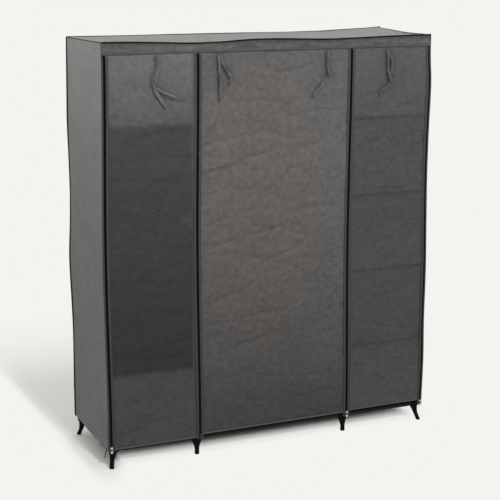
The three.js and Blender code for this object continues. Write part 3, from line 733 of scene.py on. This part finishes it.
def doorFold(index, x, z, u):
    settle = ease(doorTop - z, 0, 0.12)
    seed = 70 + 10 * index
    broad = doors["broad"] * noise(x * 4.2 + 0.7 * z, z * 3.1, seed)
    broad = broad + doors["ripple"] * noise(x * 8, z * 9, seed + 1)
    crinkle = doors["crinkle"] * noise(x * 26, z * 34, seed + 2)
    crinkle = crinkle + doors["crease"] * creases(x * 4 + z, z * 9 - x * 2, seed + 3, 9)
    crinkle = crinkle + doors["longCrease"] * creases(x * 2.4, z * 8 + x * 1.5, seed + 4, 14)
    flatter = np.sin(np.pi * np.clip(u, 0, 1)) ** 0.35
    return (broad + 0.0006) * settle * flatter + crinkle * (0.3 + 0.7 * settle) * flatter


def doorPlace(index):
    def place(u, v):
        z = doorHems[index] + (doorTop - doors["in"] - doorHems[index]) * v
        start = zipXs[index] + doors["clear"] + zipBow(index, z)
        end = zipXs[index + 1] - doors["clear"] + zipBow(index + 1, z)
        x = start + (end - start) * u
        fold = doorFold(index, x, z, u)
        if index == 1:
            fold = fold * 1.25 + 0.0014 * creases(x * 9, z * 15 + x * 4, 95, 4) * np.sin(np.pi * u) ** 0.5
            # the cloth puckers where the left zip pulls on it
            pucker = creases(x * 5 + 0.4, z * 13 - x * 3, 97, 7) * ease(1.5 - z, 0, 0.1) * ease(z, 0.2, 0.5)
            fold = fold + doors["pucker"] * pucker * ease(u, 0, 0.03) * (1 - ease(u, 0.06, 0.34))
        else:
            inner = np.sin(np.pi * u) ** 0.5
            for height in shelfZs:
                fold = fold - doors["shelfMark"] * np.exp(-((z - height) / 0.009) ** 2) * inner
        return x, frontY + doors["in"] + fold - pullFolds(doorBodies[index], x, z), z
    return place


for index, body in enumerate(doorBodies):
    door = clothPiece(f"{body}_cloth", body, doors["grids"][index], doorPlace(index),
                      looks[doors["looks"][index]], (0, 2), node=body)
    xs = np.linspace(zipXs[index] + doors["hemClear"], zipXs[index + 1] - doors["hemClear"], 90)
    line = pointsOf(xs, frontY + doors["in"], doorHems[index])
    edging = (-1, doors["hem"], doors["hemThick"])
    hem = solidPiece(f"{body}_hem", body, [binding(line, *edging)], looks["hem"])
    row = stitches(line, *edging, stitch["rows"][1])
    thread = solidPiece(f"{body}_hem_stitches", body, [row], looks["thread"])

# Zips: on each side of the middle a tape, half of the chain and a grey binding with two rows of stitches
zipBodies = ("root", *doorBodies, "root")
chainBodies = ("root", "door_middle")  # the half on one of these replaces the chain in the CAD
zips = {
    "tapeAside": 0.0045, "tapeIn": 0.0009, "tapeHalf": 0.0042, "tapeThick": 0.001,
    "coilAside": 0.0026, "coilIn": 0.0018,
    "coil": [(-0.0006, -0.001), (0.0006, -0.001), (0.0008, 0), (0.0006, 0.001), (-0.0006, 0.001),
             (-0.0008, 0)],
    "pitch": 0.0032, "toothAside": 0.0011, "toothOut": 0.0021, "tooth": (0.0021, 0.0009), "toothShare": 0.2,
    "bindingAside": (0.0052, 0.005, 0.005, 0.0013), "bindingIn": 0.0008, "thick": 0.0011,
    "wide": 0.0115, "wideAtCorners": {-1: 0.0042, 1: 0.0085},
    "rounding": 0.0005, "unlit": 1,  # the second zip's slider and pull have no shine
}


def chainTape(chain, side):
    half, thick = zips["tapeHalf"], zips["tapeThick"] / 2
    outline = [(-half, -thick), (half, -thick), (half, thick), (-half, thick)]
    return strip(chain + (side * zips["tapeAside"], -zips["tapeIn"], 0), outline, outwards)


def chainTeeth(index, side, zs):
    at = np.arange(zs[0] + zips["pitch"] * (1.5 if side > 0 else 1), zs[-1] - zips["pitch"], zips["pitch"])
    middles = zipXs[index] + zipBow(index, at) + side * zips["toothAside"]
    centres = pointsOf(middles, frontY - zips["toothOut"], at)
    return boxes(centres, (*zips["tooth"], zips["pitch"] * zips["toothShare"]), np.eye(3))


for index, zipX in enumerate(zipXs):
    zs = np.linspace(zipHem + 0.001, zipTop, 180)
    chain = pointsOf(zipX + zipBow(index, zs), frontY, zs)
    for side, body in zip((-1, 1), zipBodies[index:index + 2]):
        name = f"zip_{index + 1}_{'left' if side < 0 else 'right'}"
        coil = strip(chain + (side * zips["coilAside"], -zips["coilIn"], 0), zips["coil"], outwards)
        parts = [chainTape(chain, side), chainTeeth(index, side, zs), coil]
        node = f"zip_{index + 1}" if body in chainBodies else None
        solidPiece(name, body, parts, looks["coil"], node)
        corner = body == "root"
        wide = zips["wideAtCorners"][side] if corner else zips["wide"]
        edge = chain + (side * zips["bindingAside"][index], -zips["bindingIn"], 0)
        edging = (side, wide, zips["thick"])
        trim = [binding(edge, *edging)]
        solidPiece(f"{name}_binding", body, trim, looks["zipBinding"])
        if not corner:
            rows = [stitches(edge, *edging, share) for share in stitch["rows"]]
            solidPiece(f"{name}_stitches", body, rows, looks["thread"])
    if index == 0:
        clothPiece("zip_1_wrap", "root", wrap["grid"], wrapPlace, looks["wrap"], (1, 2))
    for kind in ("slider", "pull"):
        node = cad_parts[f"zip_{kind}_{index + 1}"]
        bevel = node.modifiers.new("rounded", "BEVEL")
        bevel.width, bevel.segments, bevel.limit_method = zips["rounding"], 2, "ANGLE"
        node.data.materials.clear()
        node.data.materials.append(looks["unlit" if index == zips["unlit"] else kind])
print("doors and zips made")

# Piping along the seams of the top and down three corners, and its radius in each place
pipingRadii = {"front": 0.0034, "frontRight": 0.0016, "topBack": 0.0028, "topSide": 0.0016, "back": 0.0032,
               "foldShade": [0.0036, 0.0058, 0.0036]}


def piping(name, path, kind):
    solidPiece(name, "root", [tube(path, pipingRadii[kind], 10)], looks["piping"])


xs = np.linspace(leftX + 0.001, rightX - 0.001, 240)
ys = np.linspace(frontY + 0.001, backY - 0.001, 60)
zs = np.linspace(sideHem, topZ - 0.002, 120)
piping("piping_front", pointsOf(xs, frontY, topZ - 0.0005 - seamDip(xs)), "front")
piping("piping_front_right", pointsOf(rightX - 0.0008 + zipBow(3, zs), frontY - 0.0004, zs), "frontRight")
backSeam = topZ - 0.001 + 0.0012 * noise(xs * 4, 0, 7) + cornerPeak(xs, backY)
piping("piping_top_back", pointsOf(xs, backY, backSeam), "topBack")
for name, x in (("left", leftX), ("right", rightX)):
    piping(f"piping_top_{name}", pointsOf(x, ys, topZ - 0.001 + cornerPeak(x, ys)), "topSide")
    backZs = np.linspace(backHem, topZ - 0.002 + cornerPeak(x, backY), 110)
    wave = 0.0014 * noise(backZs * 5, 0, 9) + (edgeWave("backLeft", backZs) if name == "left" else 0)
    piping(f"piping_back_{name}", pointsOf(x + wave, backY, backZs), "back")

# A thick knot of the dark piping beside the corner that stands up paints the shade of a fold there
foldShade = [(rightX - 0.001, backY - 0.03, topZ + 0.0075), (rightX - 0.003, backY - 0.012, topZ + 0.012),
        (rightX - 0.004, backY - 0.002, topZ + 0.0105)]
piping("corner_fold_shade", foldShade, "foldShade")

# Ties: each a ribbon in two tails that hang in front of a door, from a place along the valance
tieShape = {"grid": (6, 63), "wide": 0.017, "thick": 0.0005, "below": 0.005, "out": 0.0026,
            "outStep": 0.0016, "outLower": 0.0035, "twist": 0.7}
ties = {
    "tie_left": {"body": "door_left", "x": -0.527, "look": "tieLeft", "tails": [
        [(0, 0), (0.008, -0.038), (-0.013, -0.086), (-0.018, -0.114), (0.02, -0.14), (0.084, -0.168)],
        [(0.007, 0), (0.017, -0.04), (-0.005, -0.09), (-0.012, -0.12), (0.006, -0.156), (0.042, -0.207)]]},
    "tie_middle_left": {"body": "door_middle", "x": -0.2525, "look": "tieMiddle", "tails": [
        [(0.005, 0), (0.019, -0.043), (0.043, -0.08), (0.056, -0.1), (0.04, -0.118)],
        [(-0.003, 0), (0, -0.062), (0.006, -0.12), (0.003, -0.187)]]},
    "tie_middle_right": {"body": "door_middle", "x": 0.24, "look": "tieMiddle", "tails": [
        [(0, 0), (0, -0.055), (0.008, -0.094), (-0.019, -0.136), (-0.066, -0.19)],
        [(0.006, 0), (0.008, -0.06), (0.01, -0.108)]]},
    "tie_right": {"body": "door_right", "x": 0.5325, "look": "tieRight", "tails": [
        [(0.008, 0), (0.009, -0.018), (0.022, -0.038), (0.027, -0.067), (0.015, -0.14), (-0.008, -0.163),
         (-0.04, -0.19)],
        [(0, 0), (-0.001, -0.067), (0.01, -0.118), (0.022, -0.14)]]},
}


# A smooth line of even steps through a route's points, and its length
def smoothRoute(route, steps):
    route = np.asarray(route, float)
    places = distances(route)
    line = sampled(route, places, np.linspace(0, places[-1], steps))
    return smoothed(line, steps // 9), places[-1]


def tiePlace(line, x, number, seed):
    along = unit(np.gradient(line, axis=0))

    def place(u, v):
        row = np.round(v * tieShape["grid"][1]).astype(int)
        half = (u - 0.5) * tieShape["wide"] * (1 - 0.2 * creases(v * 5, 0, seed, 2))
        turn = tieShape["twist"] * noise(v * 4, 0, seed + 1)
        px = x + line[row, 0] - along[row, 1] * half * np.cos(turn)
        pz = doorTop - tieShape["below"] + line[row, 1] + along[row, 0] * half * np.cos(turn)
        lower = tieShape["outLower"] * ease(v, 0, 0.3) * (1 + 0.6 * noise(v * 5, 1, seed))
        py = frontY - tieShape["out"] - tieShape["outStep"] * number - lower
        return px, py - np.abs(half * np.sin(turn)), pz
    return place


for name, tie in ties.items():
    for number, route in enumerate(tie["tails"]):
        line, length = smoothRoute(route, tieShape["grid"][1] + 1)
        place = tiePlace(line, tie["x"], number, 110 + 7 * number + len(name))
        node = None if number else name
        tail = clothPiece(f"{name}_tail_{number + 1}", tie["body"], tieShape["grid"], place,
                          looks[tie["look"]], None, node, tieShape["thick"])
print("piping and ties made")


# Frame: black tubes, and the moulded collars and mouths that hold them
tubeShape = {"radius": 0.008, "sides": 20, "endGap": 0.0143, "crossHalf": 0.198, "rodHalf": 0.338}
hub = {"radius": 0.0115, "reach": 0.028, "sides": 20, "chamfer": 0.0008, "collar": 0.017,
       "lip": (0.005, 0.0045, 0.0008), "lipOut": 0.0002, "lipIn": 0.0006}
bracket = {"collar": 0.012, "radius": 0.009, "reach": 0.037}


def tubeRun(start, end):
    return tube([start, end], tubeShape["radius"], tubeShape["sides"])


def collar(centre, axis, reach):
    centre, axis = np.asarray(centre, float), np.asarray(axis, float)
    radius, chamfer = hub["radius"], hub["chamfer"]
    steps = [-reach, -reach + chamfer, reach - chamfer, reach]
    radii = [radius - chamfer, radius, radius, radius - chamfer]
    return tube([centre + axis * step for step in steps], radii, hub["sides"])


def mouth(centre, direction, reach=hub["reach"]):
    centre, direction = np.asarray(centre, float), np.asarray(direction, float)
    steps = [0, *(reach - step for step in hub["lip"]), reach]
    raised, sunk = hub["radius"] + hub["lipOut"], hub["radius"] - hub["lipIn"]
    radii = [hub["radius"], sunk, raised, raised, sunk]
    return tube([centre + direction * step for step in steps], radii, hub["sides"])


# A moulded foot, its kick and width given from the floor up, melted into one body with its sockets
footShape = {"rings": 26, "sides": 24, "heights": [0, 0.08, 0.24, 0.44, 0.64, 0.84, 1],
             "kicks": [1, 0.9, 0.42, -0.04, -0.16, -0.06, 0], "widths": [0.94, 1, 0.92, 0.9, 0.94, 1, 1],
             "kickX": 0.006, "kickY": 0.013, "radius": 0.0102, "flare": 0.024, "neck": 0.004,
             "voxel": 0.0013, "softening": 6}


def footLeg(corner):
    heights = np.linspace(1, 0, footShape["rings"])
    kicks = np.interp(heights, footShape["heights"], footShape["kicks"])
    widths = np.interp(heights, footShape["heights"], footShape["widths"])
    for _ in range(2):
        kicks[1:-1] = (kicks[:-2] + kicks[1:-1] + kicks[2:]) / 3
    rings = []
    for height, kick, wide in zip(heights, kicks, widths):
        flare = footShape["flare"] * height ** 3
        radius = footShape["radius"] * wide
        halfX, halfY = radius + (flare / 2 if corner else flare), radius + flare / 2
        centreX = footShape["kickX"] * kick - flare / 2 if corner else 0.0
        centreY = (footShape["kickY"] * kick if corner else 0.0) - flare / 2
        z = (height - 1) * (baseZ - footShape["neck"]) - footShape["neck"]
        rings.append([(centreX + halfX * math.cos(angle), centreY + halfY * math.sin(angle), z)
                      for angle in np.linspace(0, 2 * np.pi, footShape["sides"], endpoint=False)])
    rings[-1] = [(x, y, -baseZ) for x, y, _ in rings[-1]]
    return loft(rings[::-1])


def footBody(corner):
    origin = (0, 0, 0)
    parts = [footLeg(corner), mouth(origin, (0, 0, 1)), mouth(origin, (0, -1, 0)),
             collar(origin, (1, 0, 0), hub["radius"])]
    parts += [mouth(origin, (side, 0, 0)) for side in ((-1,) if corner else (-1, 1))]
    rough = meshPiece("foot_rough", *merged(parts), looks["plastic"])
    melt = rough.modifiers.new("melted", "REMESH")
    melt.mode, melt.voxel_size = "VOXEL", footShape["voxel"]
    soft = rough.modifiers.new("soft", "CORRECTIVE_SMOOTH")
    soft.iterations, soft.use_only_smooth = footShape["softening"], True
    done = rough.evaluated_get(bpy.context.evaluated_depsgraph_get()).to_mesh()
    points = np.empty(len(done.vertices) * 3)
    done.vertices.foreach_get("co", points)
    points = points.reshape(-1, 3)
    points[:, 2] = np.maximum(points[:, 2], -baseZ)
    faces = [tuple(face.vertices) for face in done.polygons]
    bpy.data.objects.remove(rough)
    return points, faces


def addFoot(name, body, x, y, turn):
    points, faces = body
    if turn[0] * turn[1] < 0:
        faces = [face[::-1] for face in faces]
    foot = meshPiece(f"{name}_moulding", points * turn + (x, y, baseZ), faces, looks["plastic"], sharp=60)
    settled(foot, "root", name)


def addTube(name, start, end):
    solidPiece(f"{name}_tube", "root", [tubeRun(start, end)], looks["steel"], name)


def addFittings(name, parts):
    solidPiece(name, "root", parts, looks["plastic"])


footBodies = {True: footBody(True), False: footBody(False)}
for row, outY in (("front", -1), ("back", 1)):
    y = outY * rowY
    for column, x in enumerate(columnXs):
        corner = column in (0, 3)
        turn = (math.copysign(1, x) if corner else 1, outY, 1)
        addFoot(f"foot_{row}_{column + 1}", footBodies[corner], x, y, turn)
        name = f"upright_{row}_{column + 1}"
        addTube(name, (x, y, baseZ + tubeShape["endGap"]), (x, y, railZ - tubeShape["endGap"]))
        bayside = 1 if column in (0, 2) else -1
        parts = []
        for z in shelfZs:
            parts += [collar((x, y, z), (0, 0, 1), hub["collar"]), mouth((x, y, z), (bayside, 0, 0))]
        addFittings(f"{name}_fittings", parts)
    addTube(f"top_rail_{row}", (columnXs[0], y, railZ), (columnXs[3], y, railZ))
    parts = []
    for x in columnXs:
        joint = (x, y, railZ)
        parts += [mouth(joint, (0, 0, -1)), mouth(joint, (0, -outY, 0))]
        inwards = [side for side in (-1, 1) if abs(x + side * hub["reach"]) < columnXs[3]]
        parts += [mouth(joint, (side, 0, 0)) for side in inwards]
        parts += [collar(joint, (1, 0, 0), hub["radius"])]
    addFittings(f"top_rail_{row}_fittings", parts)

for column, x in enumerate(columnXs):
    for level, z in (("base", baseZ), ("top", railZ)):
        half = tubeShape["crossHalf"]
        addTube(f"{level}_cross_tube_{column + 1}", (x, -half, z), (x, half, z))
    if column in (1, 2):
        inward = -math.copysign(1, x)
        inside = (x - inward * bracket["radius"], 0, rodZ)
        addFittings(f"rod_bracket_{column}", [
            collar((x, 0, railZ), (0, 1, 0), bracket["collar"]),
            tube([(x, 0, railZ), (x, 0, rodZ)], bracket["radius"], hub["sides"]),
            mouth(inside, (inward, 0, 0), bracket["reach"]),
        ])
addTube("hanging_rod", (-tubeShape["rodHalf"], 0, rodZ), (tubeShape["rodHalf"], 0, rodZ))
print("frame made")

# Shelves and base: cloth sewn round a front and a back bar
shelf = {"clear": 0.03, "barsPast": 0.016, "railsShort": 0.014, "wrap": 0.0094, "wrapTurn": 1.45,
         "wrapRows": 15, "flatRows": 42, "columns": (46, 90, 46), "sewn": 0.09, "sag": 0.007,
         "baseSag": 0.001}
shelfRows = 2 * shelf["wrapRows"] + shelf["flatRows"] - 1


def shelfPlace(start, end, z, sag, seed):
    wrap = shelf["wrap"]
    turn = np.linspace(shelf["wrapTurn"], 0, shelf["wrapRows"]) * math.pi
    front = pointsOf(-rowY - wrap * np.sin(turn), z + wrap * np.cos(turn))
    back = pointsOf(rowY + wrap * np.sin(turn[::-1]), z + wrap * np.cos(turn[::-1]))
    middle = np.linspace(-rowY, rowY, shelf["flatRows"] + 2)[1:-1]
    profile = np.concatenate([front, pointsOf(middle, z + wrap), back])

    def place(u, v):
        x = start + (end - start) * u
        row = np.round(v * shelfRows).astype(int)
        y, height = profile[row, 0], profile[row, 1]
        share = np.clip((y + rowY) / (2 * rowY), 0, 1)
        flat = np.sin(np.pi * share)
        drop = sag * flat * (0.8 + 0.2 * np.sin(np.pi * u)) - 0.0016 * flat * noise(x * 13, y * 11, seed)
        return x, y, height - drop
    return place


def addCloth(name, bay, z, sag, seed, look):
    start, end = columnXs[bay] + shelf["clear"], columnXs[bay + 1] - shelf["clear"]
    grid = (shelf["columns"][bay], shelfRows)
    place = shelfPlace(start, end, z, sag, seed)
    cloth = clothPiece(name, "root", grid, place, look, (0, 1))
    return start, end


def addBars(name, node, start, end, z):
    bars = [tubeRun((start, y, z), (end, y, z)) for y in (-rowY, rowY)]
    solidPiece(name, "root", bars, looks["steel"], node)


for level, z in enumerate(shelfZs):
    for side, bay, seed in (("left", 0, 130), ("right", 2, 140)):
        name, bars = f"shelf_{side}_{level + 1}", f"shelf_{side}_{level + 1}_bars"
        start, end = addCloth(f"{name}_cloth", bay, z, shelf["sag"], seed + level, looks["shelf"])
        addBars(bars, name, start - shelf["barsPast"], end + shelf["barsPast"], z)
for bay in range(3):
    addCloth(f"base_cloth_{bay + 1}", bay, baseZ, shelf["baseSag"], 150 + bay, looks["base"])
railEnd = columnXs[3] - shelf["railsShort"]
addBars("base_rails", "base_shelf", -railEnd, railEnd, baseZ)
print("shelves made")

# A small limp tie at the lower front corner of the left side: its route, from the hem down
hemTie = {"radius": 0.0018, "sides": 10, "route": [
    (leftX - 0.001, frontY + 0.03, 0.082), (leftX - 0.003, frontY + 0.03, 0.072),
    (leftX - 0.006, frontY + 0.032, 0.058), (leftX - 0.005, frontY + 0.036, 0.046),
    (leftX - 0.008, frontY + 0.042, 0.038)]}
route = np.array(hemTie["route"])
corners = range(len(route))
route = smoothed(sampled(route, corners, np.linspace(0, corners[-1], 41)), 6)
hemTieTube = tube(route, hemTie["radius"], hemTie["sides"], (0, 1, 0.1))
hemTiePiece = solidPiece("hem_tie", "root", [hemTieTube], looks["piping"])
print("hem tie made")

# Floor: it thins out to the white behind it, away from the wardrobe and its shadow
floorShape = {"size": 60, "left": -0.798, "right": 0.7, "back": 0.95,
              "front": [(0.66, 0.06), (0.76, 0.27)],  # how far in front, by how far to the left
              "fade": [(0, 1), (0.1, 0.9), (0.3, 0.56), (0.6, 0.2), (1.0, 0)],
              "colour": (0.9, 0.883, 0.851)}
floorLook = Look("floor_pale", Roughness=0.9, Specular_IOR_Level=0.1)
ground = floorLook.place()
paper = floorLook.noise(ground, 3, 3.0)
groundX, groundY, _ = floorLook.parts(ground)
pastRight, pastBack = (groundX - floorShape["right"]) * 6, (groundY - floorShape["back"]) * 0.75
beside = ((groundX * -1 + floorShape["left"]) * 16).apply("MAXIMUM", pastRight).apply("MAXIMUM", 0.0)
reach = floorLook.ramp(groundX * -1, floorShape["front"])
before = ((groundY * -1 - reach) * 6).apply("MAXIMUM", pastBack).apply("MAXIMUM", 0.0)
away = (beside * beside + before * before) ** 0.5
floorMaterial = floorLook.finish(
    Base_Color=floorLook.tint(floorShape["colour"], 0.995 + paper * 0.01),
    Alpha=floorLook.ramp(away, floorShape["fade"]),
)
bpy.ops.mesh.primitive_plane_add(size=floorShape["size"], location=(0, 0, 0))
floor = bpy.context.object
floor.name = "floor"
floor.data.materials.append(floorMaterial)

# Backdrop: what the camera and shiny surfaces see is a little brighter than what lights the scene
backdrop = {"seen": (0.913, 0.896, 0.863, 1), "light": (1, 0.995, 0.985, 1), "strength": 0.62}
sky = Look("studio", "worlds", Color=backdrop["light"], Strength=backdrop["strength"])
rayKinds = ("Is Camera Ray", "Is Glossy Ray", "Is Transmission Ray")
rays = [sky.node("ShaderNodeLightPath", {}, {}, kind) for kind in rayKinds]
seenBy = rays[0].apply("MAXIMUM", rays[1]).apply("MAXIMUM", rays[2])
lit = Value(sky, sky.surface.outputs[0])
seen = sky.node("ShaderNodeBackground", {}, {0: backdrop["seen"]})
mixed = sky.node("ShaderNodeMixShader", {}, {0: seenBy, 1: lit, 2: seen})
sky.feed(sky.tree.nodes["World Output"].inputs[0], mixed)
bpy.context.scene.world = sky.made

# Soft suns: where each shines from, its level on a surface that faces it, and its width in degrees
suns = {
    "key": {"from": (0.06, -0.97, 0.85), "level": 0.42, "wide": 7},
    "top": {"from": (0, 0.1, 1), "level": 0.1, "wide": 60},
    "left": {"from": (-1, -0.15, 0.3), "level": 0.16, "wide": 40},
    "back": {"from": (1, 0.75, 0.14), "level": 0.2, "wide": 16},
}
for name, sun in suns.items():
    lamp = bpy.data.lights.new(f"sun_{name}", "SUN")
    lamp.energy, lamp.angle = sun["level"] * math.pi, math.radians(sun["wide"])
    holder = bpy.data.objects.new(f"sun_{name}", lamp)
    holder.rotation_euler = Vector(sun["from"]).to_track_quat("Z", "Y").to_euler()
    bpy.context.scene.collection.objects.link(holder)

# Camera: its place, how far it looks down and round in degrees, its lens in millimetres and its shift
view = {"place": (-2.3821, -5.1601, 2.0451), "down": 10.912, "round": -24.273, "lens": 95.18,
        "shift": (0.02, -0.06)}
camera = bpy.data.objects.new("camera", bpy.data.cameras.new("camera"))
camera.location = view["place"]
camera.rotation_euler = (math.radians(90 - view["down"]), 0, math.radians(view["round"]))
camera.data.lens = view["lens"]
camera.data.shift_x, camera.data.shift_y = view["shift"]
bpy.context.scene.collection.objects.link(camera)
bpy.context.scene.camera = camera
bpy.context.scene.view_settings.view_transform = "Standard"
print("floor, backdrop, suns and camera made")
